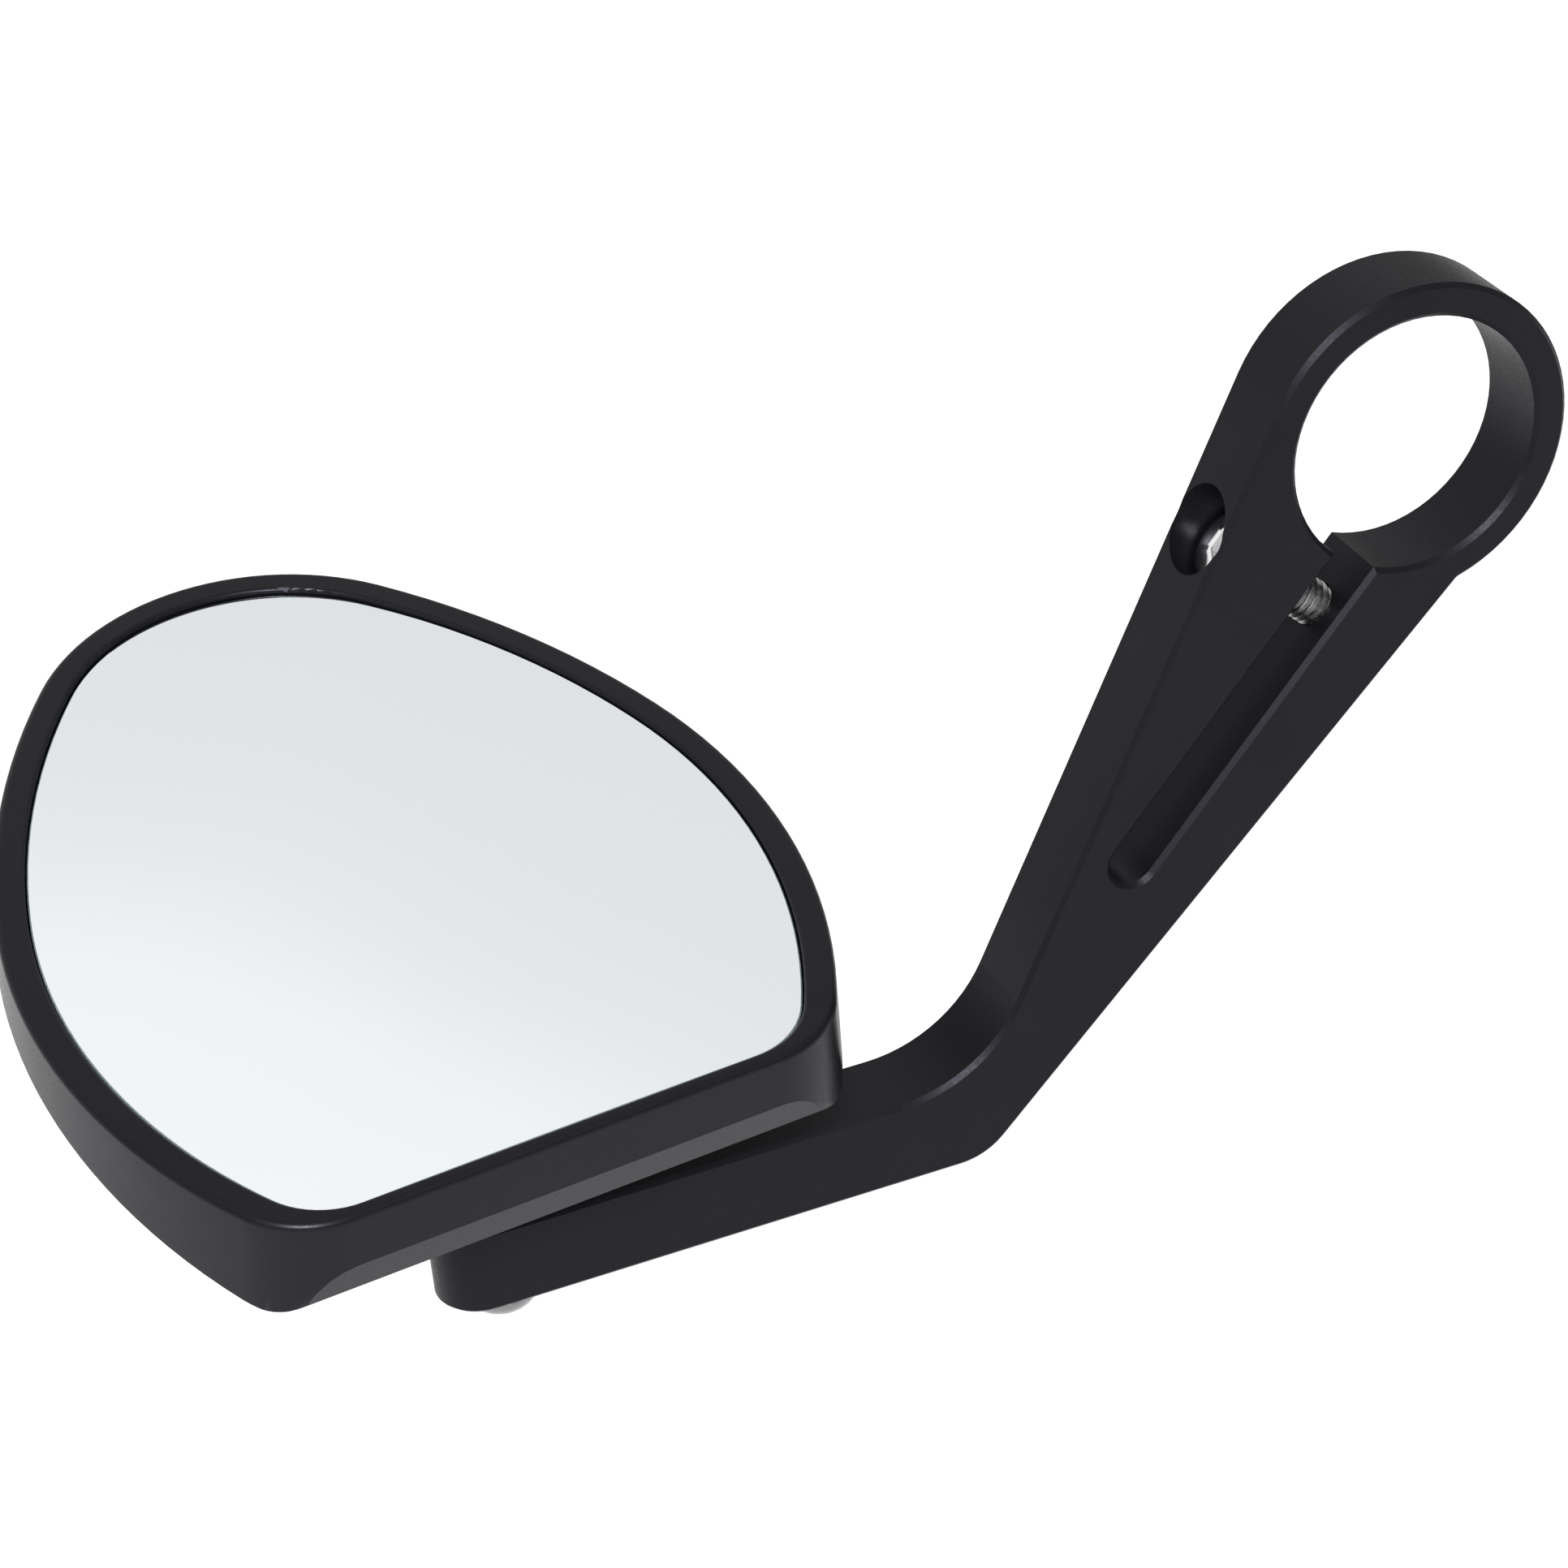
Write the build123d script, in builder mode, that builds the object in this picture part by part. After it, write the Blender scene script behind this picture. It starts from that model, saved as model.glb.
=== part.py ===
# Bar end mirror for a motorcycle: a split clamp arm cut from plate, a ball joint and a mirror head.
# The origin is the centre of the bar clamp, +Y runs along the handlebar and +Z is up.
import os
from math import asin, cos, degrees, hypot, radians, sin, sqrt, tan

from build123d import *

os.makedirs("parts", exist_ok=True)

# Clamp arm
plate_thickness = 8.0
bore_diameter = 22.3
ring_wall = 2.9
strut_upper_angle = 62.0      # upper edge of the strut, tangent to the ring
strut_lower_angle = 43.6      # lower edge of the strut
strut_lower_inset = 1.6       # how far that edge passes inside the ring's rim
leg_drop = 57.4               # bar centre down to the underside of the leg
leg_height = 8.0
leg_reach = 91.0              # bar centre out to the end of the leg
inner_elbow_radius = 12.7
outer_elbow_radius = 6.0
notch_radius = 1.0            # where the strut's lower edge runs into the ring
edge_break = 0.4
end_flat = 0.05               # left between the two rounds of the leg's end
slot_width = 4.2
slot_angle = 46.8
slot_offset = 2.1             # slot's centre line beside the bar centre
slot_reach = 42.0             # bar centre to the centre of the slot's round end

# Clamp screw, square to the slot
clamp_screw_distance = 15.9   # along the slot from the bar centre
clamp_screw_diameter = 4.0
clamp_screw_length = 14.0
clamp_head_diameter = 7.0
clamp_head_height = 4.0
clamp_head_sunk = 3.3         # top of the head below the mouth of its counterbore
clamp_hex = 3.0
clamp_hex_depth = 2.2
screw_clearance = 0.3         # across the diameter of a plain screw hole
head_clearance = 0.5          # across the diameter of a counterbore
thread_clearance = 0.1        # across the diameter of a tapped hole, threads not cut

# Pivot screw and ball stud at the end of the leg
pivot_inset = 5.6             # leg end to the stud's axis
pivot_screw_diameter = 4.0
pivot_screw_length = 7.6
pivot_head_diameter = 7.2
pivot_head_height = 2.7
pivot_hex = 2.5
pivot_hex_depth = 1.4
spigot_diameter = 6.0
spigot_length = 4.4
spigot_clearance = 0.1        # across the spigot's diameter, and under its end
tapping_depth = 5.0
collar_diameter = 7.6
collar_height = 1.4
neck_diameter = 3.6
ball_diameter = 7.0
ball_height = 7.9             # ball centre above the top of the leg

# How the mirror head stands on the ball at rest
head_swivel = 6.5
head_tilt = 10.7
head_roll = 1.5
ball_offset = 2.0             # ball beside the head's centre line
ball_setback = 12.0           # ball behind the flat edge of the glass
ball_depth = 9.8              # ball below the crest of the rim

# Mirror glass: flat edge, round sides, flatter shoulders, blunt tip
glass_half_width = 30.3
glass_widest = 28.4           # flat edge to the widest place
side_radius = 48.7
shoulder_radius = 74.0
side_end = 16.7               # direction where a side runs into its shoulder
shoulder_end = 39.7           # direction where a shoulder runs into the tip
glass_corner = 7.2
glass_thickness = 2.0
glass_recess = 0.6            # edge of the glass below the crest of the rim
glass_dome = 1600.0           # radius of the glass's rounded face
dome_middle = 34.0            # flat edge to the highest place of that face
glass_clearance = 0.15
pad_thickness = 0.5
pad_margin = 1.0              # pad inside the edge of the glass

# Mirror housing: deep at the flat end, thin at the tip
rim_width = 2.8
flat_rim = 1.5                # rim along the flat end
rim_corner = 8.6              # corners of the flat end, seen from the front
rim_outer_round = 0.7
rim_inner_round = 0.4
wall_flare = 4.5              # lean of the walls, outwards towards the back
flat_depth = 9.5              # rim's crest to the back, at the flat end
facet_drop = 6.2              # rim's crest to the facet along the foot of the flat end
facet_lean = 22.0
tip_depth = 4.8
back_hollow = 2.25            # how far the back is hollowed along its length
housing_wall = 1.6
back_round = 2.4
ledge_width = 2.6             # shelf under the edge of the glass
boss_radius = 9.0
boss_drop = 2.9               # ball centre down to the mouth of its socket
boss_root = 1.6               # radius where the boss meets the back
boss_edge = 0.5

# Ball socket
joint_clearance = 0.1
seat_wall = 1.0
seat_low_angle = 36.0         # lower edge of the seat ring, below the ball's equator
seat_high_angle = 6.0
cup_low_angle = 12.0          # lower edge of the cup, above the equator
cup_crown = 1.0
spring_thickness = 0.4
spring_rise = 0.25
spring_bore_radius = 2.2
plate_height = 1.2
plate_margin = 0.3            # plate inside the boss
plate_screw_circle = 14.0
plate_screw_count = 3
plate_screw_diameter = 2.0
plate_screw_head = 3.8
plate_screw_length = 5.0
plate_hex = 1.3
plate_hex_depth = 0.7

# Places worked out from the sizes above
bore_radius = bore_diameter / 2
ring_radius = bore_radius + ring_wall
leg_top = leg_height - leg_drop
pivot_x = pivot_inset - leg_reach
ball_point = Vector(pivot_x, 0, leg_top + ball_height)
ball_radius = ball_diameter / 2
seat_radius = ball_radius + joint_clearance + seat_wall
socket_radius = seat_radius + joint_clearance
cup_top = ball_radius + joint_clearance + cup_crown
plate_low = cup_top + spring_thickness + spring_rise
recess_depth = glass_recess + glass_thickness + pad_thickness
side_centre = (glass_half_width - side_radius, glass_widest)
shoulder_centre = (
    side_centre[0] - (shoulder_radius - side_radius) * cos(radians(side_end)),
    side_centre[1] - (shoulder_radius - side_radius) * sin(radians(side_end)),
)
tip_radius = shoulder_radius + shoulder_centre[0] / cos(radians(shoulder_end))
tip_centre = (0, shoulder_centre[1] + (shoulder_radius - tip_radius) * sin(radians(shoulder_end)))
glass_length = tip_centre[1] + tip_radius
facet_slope = tan(radians(facet_lean))
facet_start = -flat_rim - facet_drop * (tan(radians(wall_flare)) + facet_slope)
facet_end = facet_start + flat_depth * facet_slope

# Strut frame: along the slot, and square to it across the clamp screw
slot_along = Vector(cos(radians(slot_angle)), 0, sin(radians(slot_angle)))
slot_across = Vector(sin(radians(slot_angle)), 0, -cos(radians(slot_angle)))
screw_centre = slot_across * slot_offset - slot_along * clamp_screw_distance
upper_normal = Vector(-sin(radians(strut_upper_angle)), 0, cos(radians(strut_upper_angle)))
mouth_distance = (ring_radius - screw_centre.dot(upper_normal)) / -slot_across.dot(upper_normal)
screw_mouth = screw_centre - slot_across * mouth_distance
head_seat = screw_mouth + slot_across * (clamp_head_sunk + clamp_head_height)
screw_plane = Plane(origin=head_seat, x_dir=slot_along, z_dir=slot_across * -1)

# Head frames: the ball's centre, and the middle of the glass's flat edge at the rim's crest
ball_plane = Plane(ball_point).rotated((0, 0, head_swivel)).rotated((head_tilt, 0, 0))
ball_plane = ball_plane.rotated((0, head_roll, 0))
head_origin = ball_plane.from_local_coords(Vector(ball_offset, -ball_setback, ball_depth))
head_plane = Plane(origin=head_origin, x_dir=ball_plane.x_dir, z_dir=ball_plane.z_dir)
head_axis = Axis(head_plane.origin, head_plane.z_dir)
ball_axis = Axis(ball_plane.origin, ball_plane.z_dir)
head_side = Plane(origin=head_origin, x_dir=ball_plane.y_dir, z_dir=ball_plane.x_dir)
ball_section = Plane(origin=ball_point, x_dir=ball_plane.x_dir, z_dir=ball_plane.y_dir * -1)
stud_section = Plane(origin=ball_point, x_dir=(1, 0, 0), z_dir=(0, -1, 0))
head_section = Plane(origin=(pivot_x, 0, -leg_drop), x_dir=(1, 0, 0), z_dir=(0, -1, 0))


# Outline of the mirror, larger or smaller than the glass, and by another amount along the flat end
def head_outline(grow, flat_grow, corner):
    start = -degrees(asin((glass_widest + flat_grow) / (side_radius + grow)))
    with BuildSketch() as outline:
        with BuildLine():
            side = CenterArc(side_centre, side_radius + grow, start, side_end - start)
            shoulder = CenterArc(shoulder_centre, shoulder_radius + grow, side_end, shoulder_end - side_end)
            CenterArc(tip_centre, tip_radius + grow, shoulder_end, 180 - 2 * shoulder_end)
            mirror([side, shoulder], about=Plane.YZ)
            Line((-(side @ 0).X, -flat_grow), side @ 0)
        make_face()
        fillet(outline.vertices().group_by(Axis.Y)[0], corner)
    return outline.sketch


# Side view of the dish, or of its hollow when a wall is given
def dish_side(wall):
    tip_end = glass_length + 2 * rim_width
    with BuildSketch(head_side) as side:
        with BuildLine():
            facet = Line((wall + facet_start, 0), (wall + facet_end, wall - flat_depth))
            back = SagittaArc(facet @ 1, (tip_end, wall - tip_depth), back_hollow)
            Polyline(back @ 1, (tip_end, 0), facet @ 0)
        make_face()
    return side.sketch


# Socket head screw along the plane's -Z, with the underside of its head at the plane's origin
def cap_screw(place, diameter, length, head_diameter, head_height, hex_size, hex_depth):
    with BuildPart() as screw:
        with BuildSketch(place):
            Circle(head_diameter / 2)
        extrude(amount=head_height)
        rim = screw.faces().sort_by(Axis(place.origin, place.z_dir))[-1].edges()
        fillet(rim, head_height / 10)
        with BuildSketch(place):
            Circle(diameter / 2)
        extrude(amount=-length)
        with BuildSketch(place.offset(head_height)):
            RegularPolygon(hex_size / 2, 6, major_radius=False)
        extrude(amount=-hex_depth, mode=Mode.SUBTRACT)
    return screw


# Clamp arm: ring, tapering strut, elbow and leg in one outline
with BuildPart() as clamp_arm:
    upper_slope = strut_upper_angle
    tangent_point = (-ring_radius * sin(radians(upper_slope)), ring_radius * cos(radians(upper_slope)))
    inner_run = (tangent_point[1] - leg_top) / sin(radians(upper_slope))
    inner_corner = (tangent_point[0] - inner_run * cos(radians(upper_slope)), leg_top)
    lower_distance = ring_radius - strut_lower_inset
    lower_sin = sin(radians(strut_lower_angle))
    lower_cos = cos(radians(strut_lower_angle))
    notch_half = sqrt(ring_radius**2 - lower_distance**2)
    notch_point = (
        lower_distance * lower_sin - notch_half * lower_cos,
        -lower_distance * lower_cos - notch_half * lower_sin,
    )
    outer_run = (notch_point[1] + leg_drop) / lower_sin
    outer_corner = (notch_point[0] - outer_run * lower_cos, -leg_drop)
    with BuildSketch(Plane.XZ) as arm_outline:
        Circle(ring_radius)
        with BuildLine():
            Polyline(
                (0, 0),
                tangent_point,
                inner_corner,
                (-leg_reach, leg_top),
                (-leg_reach, -leg_drop),
                outer_corner,
                notch_point,
                close=True,
            )
        make_face()
        corners = arm_outline.vertices()
        fillet(corners.sort_by_distance(Vector(*inner_corner))[0], inner_elbow_radius)
        corners = arm_outline.vertices()
        fillet(corners.sort_by_distance(Vector(*outer_corner))[0], outer_elbow_radius)
        corners = arm_outline.vertices()
        fillet(corners.sort_by_distance(Vector(*notch_point))[0], notch_radius)
        Circle(bore_radius, mode=Mode.SUBTRACT)
        slot_middle = slot_across * slot_offset - slot_along * (slot_reach / 2)
        with Locations((slot_middle.X, slot_middle.Z)):
            SlotCenterToCenter(slot_reach, slot_width, rotation=slot_angle, mode=Mode.SUBTRACT)
    extrude(amount=plate_thickness / 2, both=True)

    # Half-round end of the leg, then every long edge is broken
    end_edges = clamp_arm.edges().filter_by(Axis.Z).group_by(Axis.X)[0]
    fillet(end_edges, plate_thickness / 2 - end_flat)
    side_edges = clamp_arm.faces().filter_by(Axis.Y).edges()
    leg_end = clamp_arm.edges().filter_by(GeomType.CIRCLE).filter_by_position(
        Axis.X, -leg_reach, plate_thickness / 2 - leg_reach
    )
    chamfer(side_edges + leg_end, edge_break)

    # Clamp screw: counterbore, plain hole as far as the slot, tapped hole beyond it
    with BuildSketch(screw_plane):
        Circle((clamp_head_diameter + head_clearance) / 2)
    extrude(amount=clamp_head_height + clamp_head_sunk + clamp_head_diameter, mode=Mode.SUBTRACT)
    slot_depth = (screw_centre - head_seat).dot(slot_across)
    with BuildSketch(screw_plane):
        Circle((clamp_screw_diameter + screw_clearance) / 2)
    extrude(amount=-slot_depth, mode=Mode.SUBTRACT)
    with BuildSketch(screw_plane.offset(-slot_depth)):
        Circle((clamp_screw_diameter + thread_clearance) / 2)
    extrude(amount=-2 * ring_radius, mode=Mode.SUBTRACT)

    # Pivot: plain hole from below, and a wider one above for the stud's spigot
    with BuildSketch(Plane.XY.offset(leg_top)):
        with Locations((pivot_x, 0)):
            Circle((pivot_screw_diameter + screw_clearance) / 2)
    extrude(amount=-leg_height, mode=Mode.SUBTRACT)
    with BuildSketch(Plane.XY.offset(leg_top)):
        with Locations((pivot_x, 0)):
            Circle((spigot_diameter + spigot_clearance) / 2)
    extrude(amount=-(spigot_length + spigot_clearance), mode=Mode.SUBTRACT)
clamp_arm.part.label = "clamp_arm"
export_step(clamp_arm.part, "parts/clamp_arm.step")

# Clamp screw
clamp_screw = cap_screw(
    screw_plane,
    clamp_screw_diameter,
    clamp_screw_length,
    clamp_head_diameter,
    clamp_head_height,
    clamp_hex,
    clamp_hex_depth,
)
clamp_screw.part.label = "clamp_screw"
export_step(clamp_screw.part, "parts/clamp_screw.step")

# Pivot screw: domed head under the leg, shank up into the stud
with BuildPart() as pivot_screw:
    dome_rim = pivot_head_diameter / 2
    dome_radius = (dome_rim**2 + pivot_head_height**2) / (2 * pivot_head_height)
    with BuildSketch(head_section):
        with BuildLine():
            dome = RadiusArc((0, -pivot_head_height), (dome_rim, 0), -dome_radius)
            Polyline(
                dome @ 1,
                (pivot_screw_diameter / 2, 0),
                (pivot_screw_diameter / 2, pivot_screw_length),
                (0, pivot_screw_length),
                dome @ 0,
            )
        make_face()
    revolve(axis=Axis((pivot_x, 0, 0), (0, 0, 1)))
    with BuildSketch(Plane.XY.offset(-leg_drop - pivot_head_height)):
        with Locations((pivot_x, 0)):
            RegularPolygon(pivot_hex / 2, 6, major_radius=False)
    extrude(amount=pivot_hex_depth, mode=Mode.SUBTRACT)
pivot_screw.part.label = "pivot_screw"
export_step(pivot_screw.part, "parts/pivot_screw.step")

# Ball stud: ball, neck, collar on the leg, spigot in the leg, tapped from below
with BuildPart() as ball_stud:
    neck_radius = neck_diameter / 2
    neck_angle = degrees(asin(neck_radius / ball_radius))
    stud_bottom = -ball_height - spigot_length
    with BuildSketch(stud_section) as stud_outline:
        with BuildLine():
            ball = CenterArc((0, 0), ball_radius, neck_angle - 90, 180 - neck_angle)
            Polyline(
                ball @ 0,
                (neck_radius, collar_height - ball_height),
                (collar_diameter / 2, collar_height - ball_height),
                (collar_diameter / 2, -ball_height),
                (spigot_diameter / 2, -ball_height),
                (spigot_diameter / 2, stud_bottom),
                (0, stud_bottom),
                ball @ 1,
            )
        make_face()
    revolve(axis=Axis(ball_point, (0, 0, 1)))
    with BuildSketch(Plane.XY.offset(leg_top - spigot_length)):
        with Locations((pivot_x, 0)):
            Circle((pivot_screw_diameter + thread_clearance) / 2)
    extrude(amount=tapping_depth, mode=Mode.SUBTRACT)
ball_stud.part.label = "ball_stud"
export_step(ball_stud.part, "parts/ball_stud.step")

# Seat ring: a round band under the ball, round inside and outside
with BuildPart() as seat_ring:
    band = seat_low_angle - seat_high_angle
    with BuildSketch(ball_section):
        with BuildLine():
            inside = CenterArc((0, 0), ball_radius + joint_clearance, -seat_low_angle, band)
            outside = CenterArc((0, 0), seat_radius, -seat_low_angle, band)
            Line(inside @ 0, outside @ 0)
            Line(inside @ 1, outside @ 1)
        make_face()
    revolve(axis=ball_axis)
seat_ring.part.label = "seat_ring"
export_step(seat_ring.part, "parts/seat_ring.step")

# Pressure cup over the ball
with BuildPart() as pressure_cup:
    with BuildSketch(ball_section):
        with BuildLine():
            inside = CenterArc((0, 0), ball_radius + joint_clearance, cup_low_angle, 90 - cup_low_angle)
            Polyline(
                inside @ 0,
                (seat_radius, (inside @ 0).Y),
                (seat_radius, cup_top),
                (0, cup_top),
                inside @ 1,
            )
        make_face()
    revolve(axis=ball_axis)
pressure_cup.part.label = "pressure_cup"
export_step(pressure_cup.part, "parts/pressure_cup.step")

# Disc spring: a shallow cone between the cup and the plate
with BuildPart() as disc_spring:
    with BuildSketch(ball_section):
        with BuildLine():
            Polyline(
                (spring_bore_radius, cup_top),
                (seat_radius - joint_clearance, cup_top + spring_rise),
                (seat_radius - joint_clearance, plate_low),
                (spring_bore_radius, cup_top + spring_thickness),
                close=True,
            )
        make_face()
    revolve(axis=ball_axis)
disc_spring.part.label = "disc_spring"
export_step(disc_spring.part, "parts/disc_spring.step")

# Retaining plate over the socket, with countersunk holes
with BuildPart(ball_plane.offset(plate_low)) as retaining_plate:
    Cylinder(boss_radius - plate_margin, plate_height, align=(Align.CENTER, Align.CENTER, Align.MIN))
    with Locations((0, 0, plate_height)):
        with PolarLocations(plate_screw_circle / 2, plate_screw_count, start_angle=90):
            CounterSinkHole(
                (plate_screw_diameter + screw_clearance) / 2,
                (plate_screw_head + screw_clearance) / 2,
                counter_sink_angle=90,
            )
retaining_plate.part.label = "retaining_plate"
export_step(retaining_plate.part, "parts/retaining_plate.step")

# Plate screws, flush with the top of the plate
with BuildPart(ball_plane.offset(plate_low + plate_height)) as plate_screws:
    head_cone = (plate_screw_head - plate_screw_diameter) / 2
    with PolarLocations(plate_screw_circle / 2, plate_screw_count, start_angle=90):
        Cylinder(plate_screw_diameter / 2, plate_screw_length, align=(Align.CENTER, Align.CENTER, Align.MAX))
        Cone(
            plate_screw_diameter / 2,
            plate_screw_head / 2,
            head_cone,
            align=(Align.CENTER, Align.CENTER, Align.MAX),
        )
    with BuildSketch(ball_plane.offset(plate_low + plate_height)):
        with PolarLocations(plate_screw_circle / 2, plate_screw_count, start_angle=90):
            RegularPolygon(plate_hex / 2, 6, major_radius=False)
    extrude(amount=-plate_hex_depth, mode=Mode.SUBTRACT)
plate_screws.part.label = "plate_screws"
export_step(plate_screws.part, "parts/plate_screws.step")

# Hollow of the housing, below the shelf that carries the glass
with BuildPart() as hollow:
    with BuildSketch(head_plane.offset(-recess_depth)):
        add(head_outline(-ledge_width, -ledge_width, glass_corner - ledge_width))
    extrude(amount=-2 * flat_depth)
    extrude(dish_side(housing_wall), amount=glass_half_width, both=True, mode=Mode.INTERSECT)

# Mirror housing: a dish with a round rim, a shelf for the glass and a boss for the ball socket
with BuildPart() as mirror_housing:
    with BuildSketch(head_plane):
        add(head_outline(rim_width, flat_rim, rim_corner))
    extrude(amount=-2 * flat_depth, taper=-wall_flare)
    extrude(dish_side(0), amount=2 * glass_half_width, both=True, mode=Mode.INTERSECT)
    back_edges = mirror_housing.faces().sort_by(head_axis)[0].edges()
    fillet(back_edges, back_round)
    front_edges = mirror_housing.faces().sort_by(head_axis)[-1].edges()
    fillet(front_edges, rim_outer_round)
    with BuildSketch(head_plane):
        add(head_outline(glass_clearance, glass_clearance, glass_corner))
    extrude(amount=-recess_depth, mode=Mode.SUBTRACT)
    rim_edges = mirror_housing.faces().sort_by(head_axis)[-1].inner_wires()[0].edges()
    fillet(rim_edges, rim_inner_round)
    add(hollow.part, mode=Mode.SUBTRACT)
    with BuildSketch(ball_plane.offset(-boss_drop)):
        Circle(boss_radius)
    extrude(amount=boss_drop + plate_low)
    boss_rings = mirror_housing.edges(Select.LAST).filter_by(GeomType.LINE, reverse=True).sort_by(ball_axis)
    fillet(boss_rings[1], boss_root)
    fillet(boss_rings[0], boss_edge)
    with BuildSketch(ball_plane):
        Circle(socket_radius)
    extrude(amount=plate_low, mode=Mode.SUBTRACT)
    with Locations(ball_plane):
        Sphere(socket_radius, mode=Mode.SUBTRACT)
    with BuildSketch(ball_plane.offset(plate_low)):
        with PolarLocations(plate_screw_circle / 2, plate_screw_count, start_angle=90):
            Circle((plate_screw_diameter + thread_clearance) / 2)
    extrude(amount=plate_height - plate_screw_length - screw_clearance, mode=Mode.SUBTRACT)
mirror_housing.part.label = "mirror_housing"
export_step(mirror_housing.part, "parts/mirror_housing.step")

# Foam pad under the glass
with BuildPart() as glass_pad:
    with BuildSketch(head_plane.offset(-recess_depth)):
        add(head_outline(-pad_margin, -pad_margin, glass_corner - pad_margin))
    extrude(amount=pad_thickness)
glass_pad.part.label = "glass_pad"
export_step(glass_pad.part, "parts/glass_pad.step")

# Mirror glass: flat behind, its face part of a large ball
with BuildPart() as mirror_glass:
    side_reach = hypot(glass_half_width, glass_widest - dome_middle)
    farthest = max(side_reach, dome_middle, glass_length - dome_middle)
    with BuildSketch(head_plane.offset(-glass_recess - glass_thickness)):
        add(head_outline(0, 0, glass_corner))
    extrude(amount=glass_thickness + glass_recess)
    dome_depth = glass_recess + sqrt(glass_dome**2 - farthest**2)
    with Locations(head_plane.from_local_coords(Vector(0, dome_middle, -dome_depth))):
        Sphere(glass_dome, mode=Mode.INTERSECT)
mirror_glass.part.label = "mirror_glass"
export_step(mirror_glass.part, "parts/mirror_glass.step")
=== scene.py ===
import math

import bmesh
import bpy
from mathutils import Matrix, Vector


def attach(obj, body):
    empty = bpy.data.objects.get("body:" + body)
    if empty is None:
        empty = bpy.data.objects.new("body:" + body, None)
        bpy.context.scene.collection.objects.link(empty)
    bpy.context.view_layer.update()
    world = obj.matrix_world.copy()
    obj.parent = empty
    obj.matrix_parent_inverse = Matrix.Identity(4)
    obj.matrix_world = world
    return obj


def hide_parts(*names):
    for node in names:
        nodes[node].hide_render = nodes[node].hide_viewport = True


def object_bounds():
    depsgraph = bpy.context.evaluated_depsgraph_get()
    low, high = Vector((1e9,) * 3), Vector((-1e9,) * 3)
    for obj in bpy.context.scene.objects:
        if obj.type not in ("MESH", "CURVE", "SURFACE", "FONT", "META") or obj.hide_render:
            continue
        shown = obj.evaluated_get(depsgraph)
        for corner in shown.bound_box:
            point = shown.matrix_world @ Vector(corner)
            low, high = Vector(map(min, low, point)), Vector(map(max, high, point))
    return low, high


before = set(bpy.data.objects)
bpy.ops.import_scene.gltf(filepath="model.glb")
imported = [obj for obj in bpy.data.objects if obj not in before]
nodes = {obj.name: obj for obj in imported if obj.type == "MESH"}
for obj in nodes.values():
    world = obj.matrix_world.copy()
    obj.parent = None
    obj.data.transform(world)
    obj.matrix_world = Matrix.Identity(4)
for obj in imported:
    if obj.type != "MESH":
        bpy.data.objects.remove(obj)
cadBox = [list(map(float, corner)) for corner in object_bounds()]
print("frame loaded:", len(nodes), "nodes")

mm = 0.001
weldGap = 1e-7  # points closer than this become one
cutGap = 1e-8  # the same, where a plane cuts a mesh
sameHeight = 1e-6
squareOn = 0.9  # a normal this much along a direction counts as facing it

# camera fitted to the picture, in metres
cameraSet = {
    "place": (-0.154090, -0.276574, 0.157925),
    "right": (0.922646, -0.377295, -0.079832),
    "down": (-0.258296, -0.450858, -0.854406),
    "ahead": (0.286370, 0.808935, -0.513436),
    "focalPixels": 5200.0,
    "imagePixels": 1932.0,
    "sensor": 36.0,
    "clip": (0.01, 20.0),
}


def addCamera(s):
    data = bpy.data.cameras.new("pictureCamera")
    data.sensor_width = s["sensor"]
    data.sensor_height = s["sensor"]
    data.sensor_fit = "HORIZONTAL"
    data.lens = s["focalPixels"] / s["imagePixels"] * s["sensor"]
    data.clip_start, data.clip_end = s["clip"]
    camera = bpy.data.objects.new("pictureCamera", data)
    bpy.context.scene.collection.objects.link(camera)
    right, up, back = Vector(s["right"]), -Vector(s["down"]), -Vector(s["ahead"])
    turn = Matrix((right, up, back)).transposed().to_4x4()
    camera.matrix_world = Matrix.Translation(s["place"]) @ turn
    bpy.context.scene.camera = camera


addCamera(cameraSet)
print("camera placed")


# shader nodes: a value in inputs is set on its socket, an output is linked to it
def addNode(tree, kind, inputs=None, **settings):
    node = tree.nodes.new("ShaderNode" + kind)
    for name, value in settings.items():
        setattr(node, name, value)
    for socket, value in (inputs or {}).items():
        if isinstance(value, bpy.types.NodeSocket):
            tree.links.new(value, node.inputs[socket])
        else:
            node.inputs[socket].default_value = value
    return node


def ramp(tree, value, stops):
    node = addNode(tree, "ValToRGB", {"Fac": value})
    band = node.color_ramp
    while len(band.elements) < len(stops):
        band.elements.new(0.5)
    for element, (place, colour) in zip(band.elements, stops):
        element.position = place
        element.color = colour
    return node.outputs["Color"]


def grey(level):
    return (level, level, level, 1.0)


def eitherRay(tree, one, other):
    return addNode(tree, "Math", {0: one, 1: other}, operation="MAXIMUM").outputs[0]


# pale floor and soft studio light
studioSet = {
    "floorDrop": 0.10,
    "floorSize": 6.0,
    "floorColour": (0.62, 0.62, 0.63, 1.0),
    "floorRough": 0.9,
    "floorGloss": 0.1,
    "floorLift": 0.52,  # what the camera and the reflections see on top of the lit floor
    "worldLight": 0.60,
    "skyLean": (-0.3, 0.0, 1.0),  # the sky is brightest towards this side
    "skyStops": [
        (0.0, 0.42), (0.25, 0.60), (0.38, 0.95), (0.46, 0.90), (0.60, 0.80), (0.70, 0.84),
        (0.725, 0.87), (0.755, 0.955), (0.80, 0.985), (1.0, 1.0),
    ],
    "cloudLevel": 0.04,
    "cloudScale": 4.0,
    "cloudDetail": 2.0,
    "keyPlace": (-0.455, -0.936, 0.78),
    "keySize": 0.35,
    "keyPower": 27.0,
}


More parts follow.
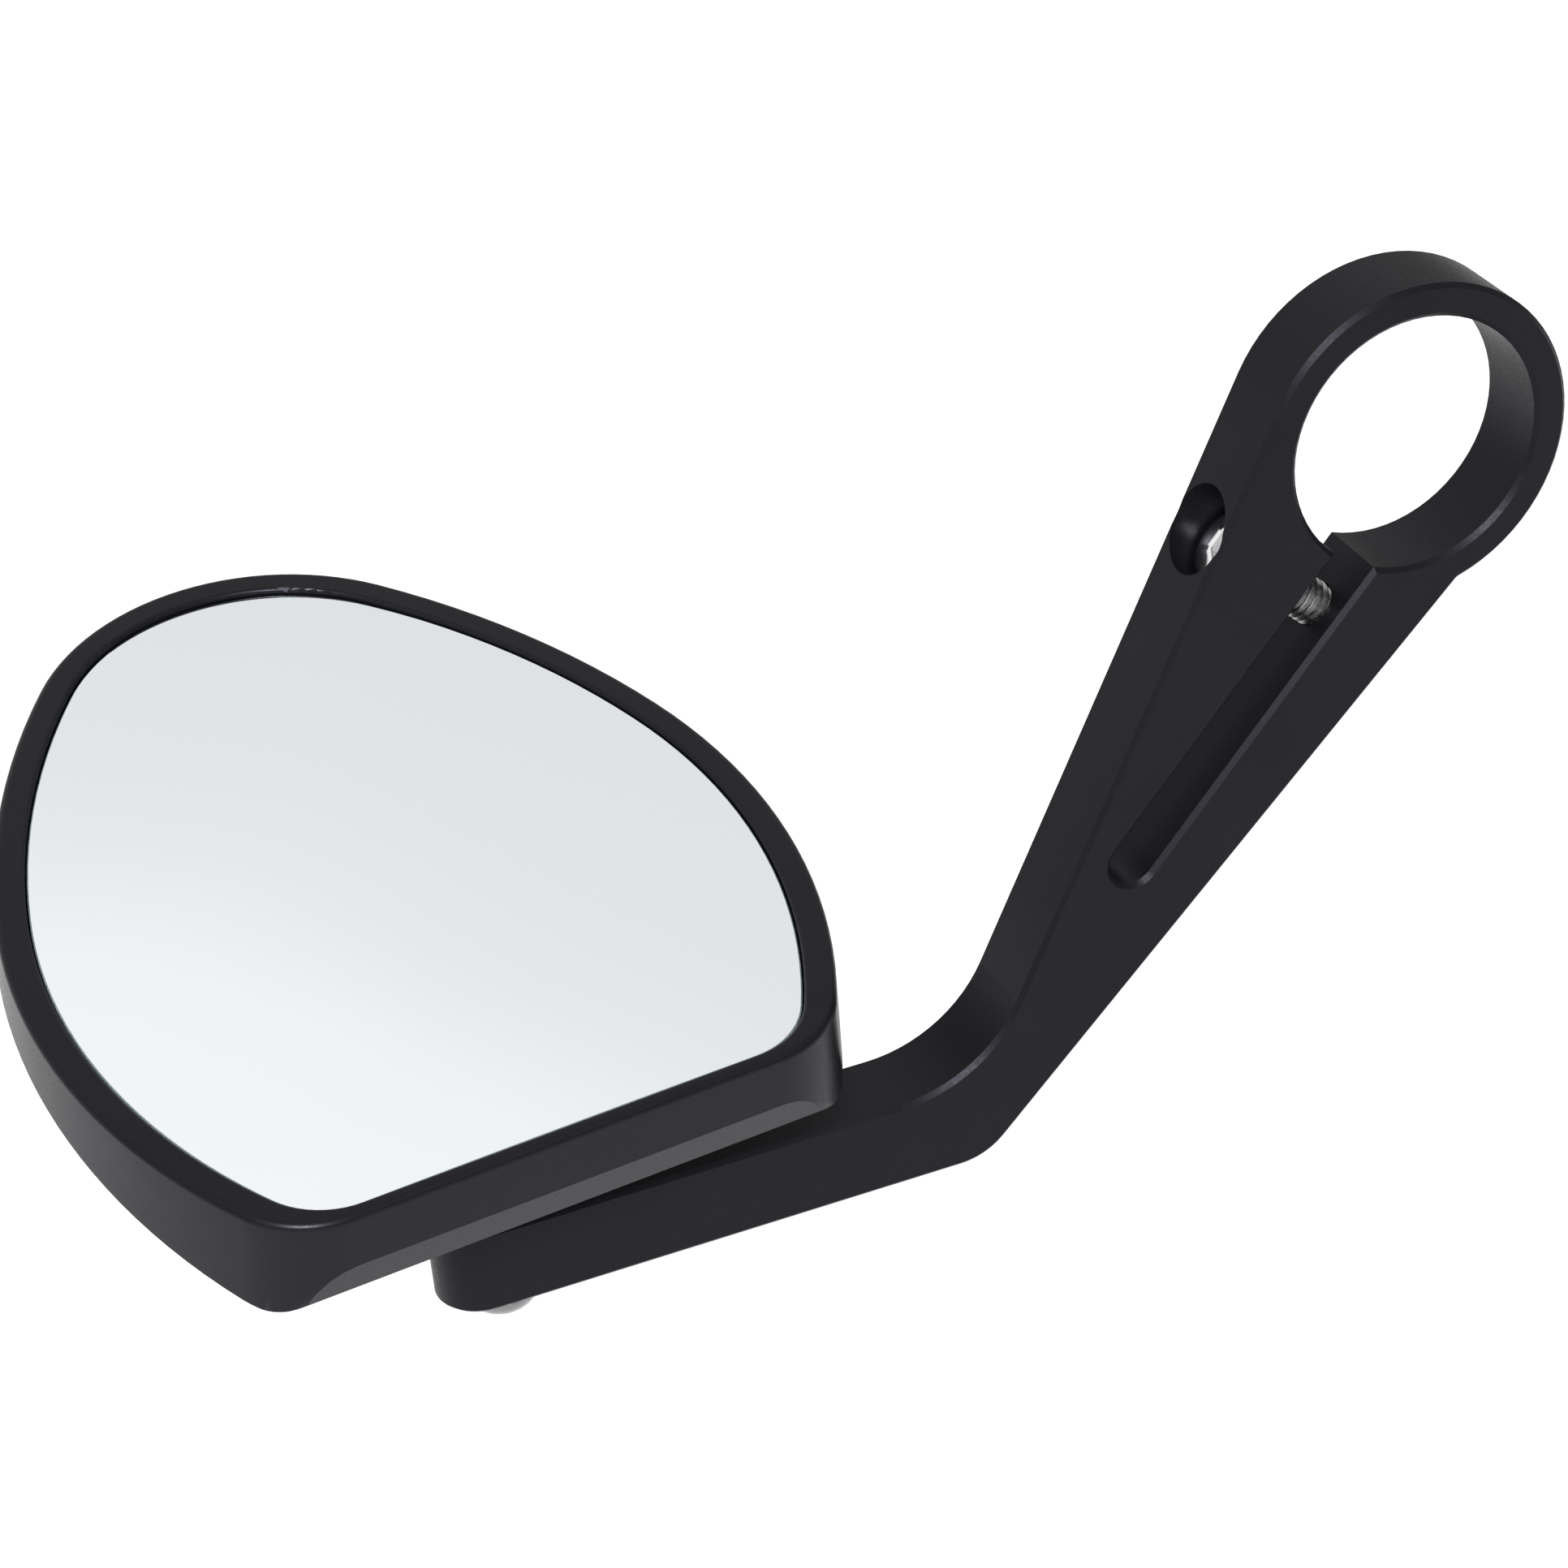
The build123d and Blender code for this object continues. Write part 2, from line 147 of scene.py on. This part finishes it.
def addFloor(s):
    bpy.ops.object.select_all(action="DESELECT")
    low = cadBox[0][2] - s["floorDrop"]
    bpy.ops.mesh.primitive_plane_add(size=s["floorSize"], location=(0, 0, low))
    floor = bpy.context.object
    floor.name = "studioFloor"
    bpy.ops.object.transform_apply(location=True, rotation=True, scale=True)
    paint = bpy.data.materials.new("floorPaint")
    paint.use_nodes = True
    tree = paint.node_tree
    body = tree.nodes["Principled BSDF"]
    body.inputs["Base Color"].default_value = s["floorColour"]
    body.inputs["Roughness"].default_value = s["floorRough"]
    body.inputs["Specular IOR Level"].default_value = s["floorGloss"]
    ray = addNode(tree, "LightPath").outputs
    direct = eitherRay(tree, ray["Is Camera Ray"], ray["Is Transmission Ray"])
    shown = eitherRay(tree, direct, ray["Is Glossy Ray"])
    lift = addNode(tree, "Math", {0: shown, 1: s["floorLift"]}, operation="MULTIPLY")
    glow = addNode(tree, "Emission", {"Strength": lift.outputs[0]})
    both = addNode(tree, "AddShader", {0: body.outputs[0], 1: glow.outputs[0]})
    tree.links.new(both.outputs[0], tree.nodes["Material Output"].inputs["Surface"])
    floor.data.materials.append(paint)


def addWorld(s):
    world = bpy.data.worlds.new("studioWorld")
    bpy.context.scene.world = world
    world.use_nodes = True
    tree = world.node_tree
    tree.nodes.clear()
    way = addNode(tree, "TexCoord").outputs["Generated"]
    lean = addNode(tree, "VectorMath", {0: way, 1: s["skyLean"]}, operation="DOT_PRODUCT")
    cloud = addNode(
        tree, "TexNoise", {"Vector": way, "Scale": s["cloudScale"], "Detail": s["cloudDetail"]},
    )
    drift = addNode(
        tree, "Math", {0: cloud.outputs["Fac"], 1: s["cloudLevel"], 2: -s["cloudLevel"] / 2},
        operation="MULTIPLY_ADD",
    )
    level = addNode(tree, "Math", {0: lean.outputs["Value"], 1: drift.outputs[0]}, operation="ADD")
    sky = ramp(tree, level.outputs[0], [(place, grey(tone)) for place, tone in s["skyStops"]])
    ray = addNode(tree, "LightPath").outputs
    direct = eitherRay(tree, ray["Is Camera Ray"], ray["Is Transmission Ray"])
    soft = addNode(tree, "Background", {"Color": grey(1.0), "Strength": s["worldLight"]})
    mirrored = addNode(tree, "Background", {"Color": sky, "Strength": 1.0})
    white = addNode(tree, "Background", {"Color": grey(1.0), "Strength": 1.0})
    inGloss = addNode(
        tree, "MixShader", {0: ray["Is Glossy Ray"], 1: soft.outputs[0], 2: mirrored.outputs[0]},
    )
    inView = addNode(tree, "MixShader", {0: direct, 1: inGloss.outputs[0], 2: white.outputs[0]})
    addNode(tree, "OutputWorld", {"Surface": inView.outputs[0]})


def addKeyLamp(s):
    data = bpy.data.lights.new("keyLamp", "AREA")
    data.shape = "SQUARE"
    data.size = s["keySize"]
    data.energy = s["keyPower"]
    lamp = bpy.data.objects.new("keyLamp", data)
    bpy.context.scene.collection.objects.link(lamp)
    aim = (Vector(cadBox[0]) + Vector(cadBox[1])) / 2
    lamp.location = s["keyPlace"]
    lamp.rotation_euler = (aim - Vector(s["keyPlace"])).to_track_quat("-Z", "Y").to_euler()


addFloor(studioSet)
addWorld(studioSet)
addKeyLamp(studioSet)
bpy.context.scene.view_settings.view_transform = "Standard"
print("studio ready")

# finishes, each clouded a little over the surface
cloudStep = (0.3, 0.7)  # where a cloud's noise goes from the first value to the second
blackSet = {
    "cast": (1.03, 0.97, 1.22),
    "glossTint": (0.86, 0.83, 1.0, 1.0),
    "cloudScale": 90.0,
    "cloudDetail": 4.0,
    "grainDetail": 3.0,
    "grainHeight": 0.05 * mm,
    "roughSpread": 0.05,
}
steelSet = {"scale": 1800.0, "detail": 3.0, "darker": 0.92, "smoother": 0.8, "rougher": 1.2}
mirrorSet = {
    "scale": 25.0,
    "detail": 2.0,
    "colours": ((0.895, 0.928, 0.955, 1), (0.905, 0.938, 0.962, 1)),
    "rough": (0.02, 0.035),
}
groundSet = {
    "scale": 2500.0,
    "detail": 2.0,
    "colours": ((0.10, 0.13, 0.125, 1), (0.15, 0.18, 0.175, 1)),
    "rough": (0.40, 0.55),
}
nylonSet = {
    "scale": 400.0,
    "detail": 3.0,
    "colours": ((0.72, 0.70, 0.63, 1), (0.80, 0.78, 0.71, 1)),
    "rough": 0.5,
}


def newMaterial(name):
    paint = bpy.data.materials.new(name)
    paint.use_nodes = True
    return paint, paint.node_tree, paint.node_tree.nodes["Principled BSDF"].inputs


def objectNoise(tree, scale, detail):
    coord = addNode(tree, "TexCoord").outputs["Object"]
    noise = addNode(tree, "TexNoise", {"Vector": coord, "Scale": scale, "Detail": detail})
    return noise.outputs["Fac"]


def spread(tree, noise, first, second, socket):
    tree.links.new(ramp(tree, noise, list(zip(cloudStep, (first, second)))), socket)


def inky(level):
    return (*(level * share for share in blackSet["cast"]), 1.0)


def satinBlack(name, dark, light, rough, specular, grainSize, grainDepth):
    s = blackSet
    paint, tree, body = newMaterial(name)
    cloud = objectNoise(tree, s["cloudScale"], s["cloudDetail"])
    spread(tree, cloud, inky(dark), inky(light), body["Base Color"])
    grain = objectNoise(tree, grainSize, s["grainDetail"])
    smoother, rougher = grey(rough - s["roughSpread"]), grey(rough + s["roughSpread"])
    spread(tree, grain, smoother, rougher, body["Roughness"])
    relief = addNode(
        tree, "Bump", {"Height": grain, "Strength": grainDepth, "Distance": s["grainHeight"]},
    )
    tree.links.new(relief.outputs["Normal"], body["Normal"])
    body["Specular IOR Level"].default_value = specular
    body["Specular Tint"].default_value = s["glossTint"]
    return paint


def turnedSteel(name, tone, rough):
    s = steelSet
    paint, tree, body = newMaterial(name)
    fine = objectNoise(tree, s["scale"], s["detail"])
    spread(tree, fine, grey(tone * s["darker"]), grey(tone), body["Base Color"])
    spread(tree, fine, grey(rough * s["smoother"]), grey(rough * s["rougher"]), body["Roughness"])
    body["Metallic"].default_value = 1.0
    return paint


def mirrorFace(name, s):
    paint, tree, body = newMaterial(name)
    haze = objectNoise(tree, s["scale"], s["detail"])
    spread(tree, haze, *s["colours"], body["Base Color"])
    spread(tree, haze, *map(grey, s["rough"]), body["Roughness"])
    body["Metallic"].default_value = 1.0
    return paint


def groundGlass(name, s):
    paint, tree, body = newMaterial(name)
    frost = objectNoise(tree, s["scale"], s["detail"])
    spread(tree, frost, *s["colours"], body["Base Color"])
    spread(tree, frost, *map(grey, s["rough"]), body["Roughness"])
    return paint


def paleNylon(name, s):
    paint, tree, body = newMaterial(name)
    cloud = objectNoise(tree, s["scale"], s["detail"])
    spread(tree, cloud, *s["colours"], body["Base Color"])
    body["Roughness"].default_value = s["rough"]
    return paint


finishes = {
    "arm": satinBlack(
        "armAnodised", dark=0.0028, light=0.0038, rough=0.41, specular=0.13,
        grainSize=3200.0, grainDepth=0.16,
    ),
    "housing": satinBlack(
        "housingSatin", dark=0.0028, light=0.0036, rough=0.33, specular=0.17,
        grainSize=4200.0, grainDepth=0.05,
    ),
    "steel": turnedSteel("screwSteel", tone=0.90, rough=0.12),
    # the threads' steel is painted darker than the same steel on the clamp head: painted shade of the
    # slot the thread sits in
    "threadSteelPaintedShade": turnedSteel("screwThreadPaintedShade", tone=0.34, rough=0.26),
    "zinc": turnedSteel("screwZinc", tone=0.17, rough=0.28),
    # near-black steel on the ball stud: painted shade of the gap between the leg and the housing
    "darkSteel": turnedSteel("studPaintedShade", tone=0.035, rough=0.35),
    "mirror": mirrorFace("mirrorSilver", mirrorSet),
    "groundGlass": groundGlass("mirrorEdge", groundSet),
    "nylon": paleNylon("socketNylon", nylonSet),
    "foam": satinBlack(
        "padFoam", dark=0.02, light=0.03, rough=0.85, specular=0.2,
        grainSize=2600.0, grainDepth=0.6,
    ),
}
print("finishes mixed:", len(finishes))


# selecting and opening meshes
def onlySelect(piece):
    bpy.ops.object.select_all(action="DESELECT")
    piece.select_set(True)
    bpy.context.view_layer.objects.active = piece


def openMesh(piece, kind="FACE"):
    onlySelect(piece)
    bpy.ops.object.mode_set(mode="EDIT")
    bpy.ops.mesh.select_mode(type=kind)


def closeMesh():
    bpy.ops.object.mode_set(mode="OBJECT")


def pickFaces(piece, wanted):
    bpy.ops.mesh.select_all(action="DESELECT")
    bpy.ops.mesh.select_mode(type="FACE")
    mesh = bmesh.from_edit_mesh(piece.data)
    for face in mesh.faces:
        face.select_set(wanted(face.calc_center_median(), face.normal))
    mesh.select_flush_mode()
    bmesh.update_edit_mesh(piece.data)


def pickPoints(piece, wanted):
    bpy.ops.mesh.select_all(action="DESELECT")
    bpy.ops.mesh.select_mode(type="VERT")
    mesh = bmesh.from_edit_mesh(piece.data)
    for point in mesh.verts:
        point.select_set(wanted(point.co))
    mesh.select_flush_mode()
    bmesh.update_edit_mesh(piece.data)


def movePoints(piece, place):
    mesh = bmesh.from_edit_mesh(piece.data)
    for point in mesh.verts:
        if point.select:
            point.co = place(point.co)
    bmesh.update_edit_mesh(piece.data)


def growFace(shift, scale=1.0):
    bpy.ops.mesh.extrude_region_move(TRANSFORM_OT_translate={"value": (0, 0, shift)})
    bpy.ops.transform.resize(value=(scale, scale, 1))


def startPoint(name):  # a plane drawn together to one point, left open for extruding
    bpy.ops.object.select_all(action="DESELECT")
    bpy.ops.mesh.primitive_plane_add(size=mm)
    piece = bpy.context.object
    piece.name = name
    openMesh(piece, "VERT")
    bpy.ops.mesh.select_all(action="SELECT")
    bpy.ops.mesh.merge(type="CENTER")
    return piece


def openCopy(name, node, kind):  # a welded copy of a node, left open with everything selected
    piece = bpy.data.objects.new(name, nodes[node].data.copy())
    bpy.context.scene.collection.objects.link(piece)
    openMesh(piece, kind)
    bpy.ops.mesh.select_all(action="SELECT")
    bpy.ops.mesh.customdata_custom_splitnormals_clear()
    bpy.ops.mesh.remove_doubles(threshold=weldGap)
    return piece


def addModifier(piece, kind, **settings):
    modifier = piece.modifiers.new(kind.lower(), kind)
    for key, value in settings.items():
        setattr(modifier, key, value)
    onlySelect(piece)
    bpy.ops.object.modifier_apply(modifier=modifier.name)


def setInPlace(piece, origin, axis):
    onlySelect(piece)
    piece.rotation_euler = Vector(axis).to_track_quat("Z", "Y").to_euler()
    piece.location = origin
    bpy.ops.object.transform_apply(location=True, rotation=True, scale=True)


def fromAxis(co):
    return math.hypot(co.x, co.y)


# screws: a thread drawn as one turn of its profile and wound down the shank
threadSet = {
    "pitch": 0.70 * mm,
    "major": 1.99 * mm,
    "minor": 1.58 * mm,
    "steps": 40,
    "profile": ((0, 0.22), (1, 0.31), (0, 0.12), (-1, 0.35)),  # shares of the depth and the pitch
    "startBelow": 1.5,  # pitches
    "spareTurns": 3,
    "smoothAngle": math.radians(32),
}
hexSet = {"leadIn": 0.14 * mm, "drillTip": 0.35 * mm, "tipScale": 0.9}


def windThread(name, s, top, bottom):
    pitch, depth = s["pitch"], s["major"] - s["minor"]
    turns = math.ceil((top - bottom) / pitch) + s["spareTurns"]
    thread = startPoint(name)
    bpy.ops.transform.translate(value=(s["minor"], 0, bottom - s["startBelow"] * pitch))
    for across, along in s["profile"]:
        step = (across * depth, 0, along * pitch)
        bpy.ops.mesh.extrude_region_move(TRANSFORM_OT_translate={"value": step})
    closeMesh()
    addModifier(
        thread, "SCREW", axis="Z", screw_offset=pitch, iterations=turns,
        steps=s["steps"], render_steps=s["steps"], use_merge_vertices=False,
    )
    openMesh(thread)
    bpy.ops.mesh.select_all(action="SELECT")
    bpy.ops.mesh.remove_doubles(threshold=weldGap)
    bpy.ops.mesh.normals_make_consistent(inside=False)
    for height, outward in ((top, 1), (bottom, -1)):
        bpy.ops.mesh.select_all(action="SELECT")
        bpy.ops.mesh.bisect(
            plane_co=(0, 0, height), plane_no=(0, 0, outward),
            use_fill=True, clear_outer=True, threshold=cutGap,
        )
    closeMesh()
    return thread


def joinThread(screw, thread, finish):
    # the thread takes the darker steel, painted shade of the slot
    for piece, paint in ((screw, finish), (thread, "threadSteelPaintedShade")):
        piece.data.materials.clear()
        piece.data.materials.append(finishes[paint])
    onlySelect(screw)
    thread.select_set(True)
    bpy.ops.object.join()
    bpy.ops.object.shade_smooth_by_angle(angle=threadSet["smoothAngle"])


def sinkHex(piece, s, flats, depth):  # from the selected round face of a head
    growFace(-s["leadIn"])

    def hexagon(co):
        angle = math.atan2(co.y, co.x)
        around = (angle + math.pi / 6) % (math.pi / 3) - math.pi / 6
        reach = flats / 2 / math.cos(around)
        return Vector((reach * math.cos(angle), reach * math.sin(angle), co.z))

    movePoints(piece, hexagon)
    growFace(s["leadIn"] - depth)
    growFace(-s["drillTip"], s["tipScale"])
    bpy.ops.mesh.merge(type="CENTER")


# clamp screw: socket head with a milled side, bright steel
clampScrewSet = {
    "seat": (-13.0269 * mm, 0.0, -9.5788 * mm),
    "axis": (-0.7290, 0.0, 0.6845),
    "headRadius": 3.5 * mm,
    "headHeight": 4.0 * mm,
    "crownHeight": 0.45 * mm,
    "crown": ((0.22 * mm, 0.985), (0.16 * mm, 0.965), (0.07 * mm, 0.955)),  # rise and scale
    "ribs": 48,
    "ribDepth": 0.11 * mm,
    "ribRunOut": 0.05 * mm,
    "ribFrom": 0.99,  # share of the head's radius
    "hexMouth": 1.86 * mm,
    "hexFlats": 3.0 * mm,
    "hexDepth": 2.2 * mm,
    "undersideHeight": 0.1 * mm,
    "undersideRim": 0.35 * mm,
    "shankRadius": 2.0 * mm,
    "neck": 0.5 * mm,
    "threadLap": 0.1 * mm,
    "length": 14.0 * mm,
    "taperLength": 0.55 * mm,
    "taperFrom": 1.6 * mm,
    "tipRadius": 1.5 * mm,
}


def makeClampScrew(s):
    bpy.ops.object.select_all(action="DESELECT")
    sideHeight = s["headHeight"] - s["crownHeight"]
    bpy.ops.mesh.primitive_cylinder_add(
        vertices=2 * s["ribs"], radius=s["headRadius"], depth=sideHeight,
        location=(0, 0, sideHeight / 2),
    )
    screw = bpy.context.object
    screw.name = "clampScrew"
    bpy.ops.object.transform_apply(location=True, rotation=True, scale=True)
    openMesh(screw)
    pickFaces(screw, lambda co, n: n.z > squareOn)
    topRadius = s["headRadius"]
    for rise, scale in s["crown"]:
        growFace(rise, scale)
        topRadius *= scale
    bpy.ops.mesh.inset(thickness=topRadius - s["hexMouth"], depth=0)
    sinkHex(screw, hexSet, s["hexFlats"], s["hexDepth"])
    step = math.pi / s["ribs"]
    pickPoints(  # every second line of the side goes in
        screw,
        lambda co: co.z < sideHeight + s["ribRunOut"]
        and fromAxis(co) > s["headRadius"] * s["ribFrom"]
        and round(math.atan2(co.y, co.x) / step) % 2 == 1,
    )
    inward = 1 - s["ribDepth"] / s["headRadius"]
    bpy.ops.transform.resize(value=(inward, inward, 1))
    pickFaces(screw, lambda co, n: n.z < -squareOn and co.z < s["undersideHeight"])
    bpy.ops.mesh.inset(thickness=s["undersideRim"], depth=0.0)
    bpy.ops.mesh.inset(thickness=s["headRadius"] - s["undersideRim"] - s["shankRadius"], depth=0.0)
    growFace(-s["neck"])
    closeMesh()
    thread = windThread("clampThread", threadSet, -s["neck"] + s["threadLap"], -s["length"])

    def taperEnd(co):
        reach = fromAxis(co)
        limit = s["tipRadius"] + (co.z + s["length"])
        if reach <= limit:
            return co
        return Vector((co.x * limit / reach, co.y * limit / reach, co.z))

    openMesh(thread)
    pickPoints(
        thread,
        lambda co: co.z < -s["length"] + s["taperLength"] and fromAxis(co) > s["taperFrom"],
    )
    movePoints(thread, taperEnd)
    closeMesh()
    joinThread(screw, thread, "steel")
    setInPlace(screw, s["seat"], s["axis"])
    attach(screw, "arm")
    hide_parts("clamp_screw")
    return screw


clampScrew = makeClampScrew(clampScrewSet)
print("clamp screw:", len(clampScrew.data.polygons), "faces")

# pivot screw: domed head under the leg
pivotScrewSet = {
    "seat": (-85.4 * mm, 0.0, -57.4 * mm),
    "axis": (0.0, 0.0, -1.0),
    "headRadius": 3.6 * mm,
    "headHeight": 2.7 * mm,
    "rimBreak": 0.05 * mm,
    "rimHeight": 0.06 * mm,
    "domeSteps": 9,
    "sides": 96,
    "hexMouth": 1.58 * mm,
    "hexFlats": 2.5 * mm,
    "hexDepth": 1.4 * mm,
    "shankRadius": 2.0 * mm,
    "neck": 0.3 * mm,
    "threadLap": 0.1 * mm,
    "length": 7.6 * mm,
}


def makePivotScrew(s):
    dome = (s["headRadius"] ** 2 + s["headHeight"] ** 2) / (2 * s["headHeight"])
    screw = startPoint("pivotScrew")
    last = Vector((s["headRadius"] - s["rimBreak"], 0, 0))
    bpy.ops.transform.translate(value=last)
    start = math.asin(s["headRadius"] / dome)
    end = math.asin(s["hexMouth"] / dome)
    for step in range(s["domeSteps"] + 1):
        lean = start + (end - start) * step / s["domeSteps"]
        rise = s["headHeight"] - dome + dome * math.cos(lean)
        spot = Vector((dome * math.sin(lean), 0, max(rise, s["rimHeight"])))
        bpy.ops.mesh.extrude_region_move(TRANSFORM_OT_translate={"value": spot - last})
        last = spot
    bpy.ops.mesh.select_all(action="SELECT")
    bpy.ops.mesh.spin(steps=s["sides"], angle=2 * math.pi, center=(0, 0, 0), axis=(0, 0, 1))
    bpy.ops.mesh.select_all(action="SELECT")
    bpy.ops.mesh.remove_doubles(threshold=weldGap)
    for height in (0.0, last.z):
        pickPoints(screw, lambda co: abs(co.z - height) < sameHeight)
        bpy.ops.mesh.edge_face_add()
    bpy.ops.mesh.select_all(action="SELECT")
    bpy.ops.mesh.normals_make_consistent(inside=False)
    pickFaces(screw, lambda co, n: n.z > squareOn and abs(co.z - last.z) < sameHeight)
    sinkHex(screw, hexSet, s["hexFlats"], s["hexDepth"])
    pickFaces(screw, lambda co, n: n.z < -squareOn and abs(co.z) < sameHeight)
    bpy.ops.mesh.inset(thickness=s["headRadius"] - s["shankRadius"], depth=0.0)
    growFace(-s["neck"])
    closeMesh()
    thread = windThread("pivotThread", threadSet, -s["neck"] + s["threadLap"], -s["length"])
    joinThread(screw, thread, "zinc")
    setInPlace(screw, s["seat"], s["axis"])
    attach(screw, "arm")
    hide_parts("pivot_screw")
    return screw


pivotScrew = makePivotScrew(pivotScrewSet)
print("pivot screw:", len(pivotScrew.data.polygons), "faces")

# where the mirror head stands
flatMiddle = Vector((-81.8603, -13.3126, -34.1322)) * mm  # middle of the flat edge, at the rim's crest
along = Vector((-0.108335478, 0.97629642, 0.187373224))  # from the flat edge to the tip
facing = Vector((0.025721804, -0.185666615, 0.98227608))

# mirror glass: a narrow ground edge round a slightly domed face
mirrorGlassSet = {
    "edgeLevel": 0.6 * mm,  # lowest place of the face below the rim's crest
    "crownAt": 34.0 * mm,
    "domeRadius": 1600.0 * mm,
    "groundWidth": 0.12 * mm,
    "groundDepth": 0.10 * mm,
    "groundSlope": 0.985,  # normals less square to the face than this belong to the edge
    "longestEdge": 3.0 * mm,
    "edgeCuts": 6,
    "rings": 12,
    "smoothAngle": math.radians(20),
}


def makeMirrorGlass(s):
    crown = flatMiddle + along * s["crownAt"]

    def outward(co):
        return (co - crown) - facing * (co - crown).dot(facing)

    def onDome(co):
        flat = outward(co)
        height = math.sqrt(s["domeRadius"] ** 2 - flat.length_squared) - rise - s["edgeLevel"]
        return crown + flat + facing * height

    glass = openCopy("mirrorGlass", "mirror_glass", "FACE")
    pickFaces(glass, lambda co, n: n.dot(facing) > squareOn)
    bpy.ops.mesh.dissolve_faces()
    bpy.ops.mesh.select_all(action="DESELECT")
    bpy.ops.mesh.select_mode(type="EDGE")
    mesh = bmesh.from_edit_mesh(glass.data)
    reach = max(outward(point.co).length for point in mesh.verts)
    rise = math.sqrt(s["domeRadius"] ** 2 - reach ** 2)
    for edge in mesh.edges:
        onFace = any(face.normal.dot(facing) > squareOn for face in edge.link_faces)
        edge.select_set(onFace and edge.calc_length() > s["longestEdge"])
    bmesh.update_edit_mesh(glass.data)
    bpy.ops.mesh.subdivide(number_cuts=s["edgeCuts"])
    pickFaces(glass, lambda co, n: n.dot(facing) > squareOn)
    bpy.ops.transform.translate(value=facing * -s["groundDepth"])
    bpy.ops.mesh.inset(thickness=s["groundWidth"], depth=0)
    movePoints(glass, onDome)
    for ring in range(s["rings"] - 1, -1, -1):  # each ring is a smaller copy of the outline
        shrink = ring / (ring + 1)
        bpy.ops.mesh.extrude_region_move()
        bpy.ops.transform.resize(value=(shrink, shrink, shrink), center_override=crown)
        movePoints(glass, onDome)
    bpy.ops.mesh.merge(type="CENTER")
    glass.data.materials.clear()
    glass.data.materials.append(finishes["mirror"])
    glass.data.materials.append(finishes["groundGlass"])
    pickFaces(glass, lambda co, n: n.dot(facing) < s["groundSlope"])
    glass.active_material_index = 1
    bpy.ops.object.material_slot_assign()
    closeMesh()
    onlySelect(glass)
    bpy.ops.object.shade_smooth_by_angle(angle=s["smoothAngle"])
    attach(glass, "head")
    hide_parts("mirror_glass")
    return glass


mirrorGlass = makeMirrorGlass(mirrorGlassSet)
print("mirror glass:", len(mirrorGlass.data.polygons), "faces")

# mirror housing: crisp facet along the foot, a broken edge round the back, one shading over the walls
mirrorHousingSet = {
    "ball": (-85.4 * mm, 0.0, -41.5 * mm),
    "bossReach": 11.0 * mm,
    "wallSlope": 0.3,
    "edgeBreak": 0.25 * mm,
    "breakSteps": 2,
    "facetOut": 1.9 * mm,  # where the facet starts, outward and back from the rim's crest
    "facetBack": 5.0 * mm,
    "facetLean": math.radians(15),
    "smoothAngle": math.radians(32),
}


def makeMirrorHousing(s):
    ball = Vector(s["ball"])
    housing = openCopy("mirrorHousing", "mirror_housing", "EDGE")
    bpy.ops.mesh.bisect(
        plane_co=flatMiddle - along * s["facetOut"] - facing * s["facetBack"],
        plane_no=-along * math.cos(s["facetLean"]) - facing * math.sin(s["facetLean"]),
        use_fill=True, clear_outer=True, threshold=cutGap,
    )
    bpy.ops.mesh.region_to_loop()
    bpy.ops.mesh.mark_sharp()
    bpy.ops.mesh.select_all(action="DESELECT")
    mesh = bmesh.from_edit_mesh(housing.data)
    for edge in mesh.edges:  # where a wall meets the back, away from the ball's boss
        slopes = sorted(face.normal.dot(facing) for face in edge.link_faces)
        middle = (edge.verts[0].co + edge.verts[1].co) / 2 - ball
        aside = (middle - facing * middle.dot(facing)).length
        edge.select_set(
            len(slopes) == 2 and slopes[0] < -squareOn and abs(slopes[1]) < s["wallSlope"]
            and aside > s["bossReach"] and edge.is_convex
        )
    bmesh.update_edit_mesh(housing.data)
    bpy.ops.mesh.bevel(
        offset=s["edgeBreak"], segments=s["breakSteps"], affect="EDGES", clamp_overlap=True,
    )
    closeMesh()
    onlySelect(housing)
    bpy.ops.object.shade_smooth_by_angle(angle=s["smoothAngle"])
    addModifier(housing, "WEIGHTED_NORMAL", keep_sharp=True)
    housing.data.materials.clear()
    housing.data.materials.append(finishes["housing"])
    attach(housing, "head")
    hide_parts("mirror_housing")
    return housing


mirrorHousing = makeMirrorHousing(mirrorHousingSet)
print("mirror housing:", len(mirrorHousing.data.polygons), "faces")

# nodes that are shown as they are
nodeFinish = {
    "clamp_arm": "arm",
    "ball_stud": "darkSteel",
    "seat_ring": "nylon",
    "pressure_cup": "nylon",
    "disc_spring": "steel",
    "retaining_plate": "steel",
    "plate_screws": "steel",
    "glass_pad": "foam",
}
for nodeName, finish in nodeFinish.items():
    nodeMesh = nodes[nodeName].data
    nodeMesh.materials.clear()
    nodeMesh.materials.append(finishes[finish])
print("finishes on", len(nodeFinish), "nodes")
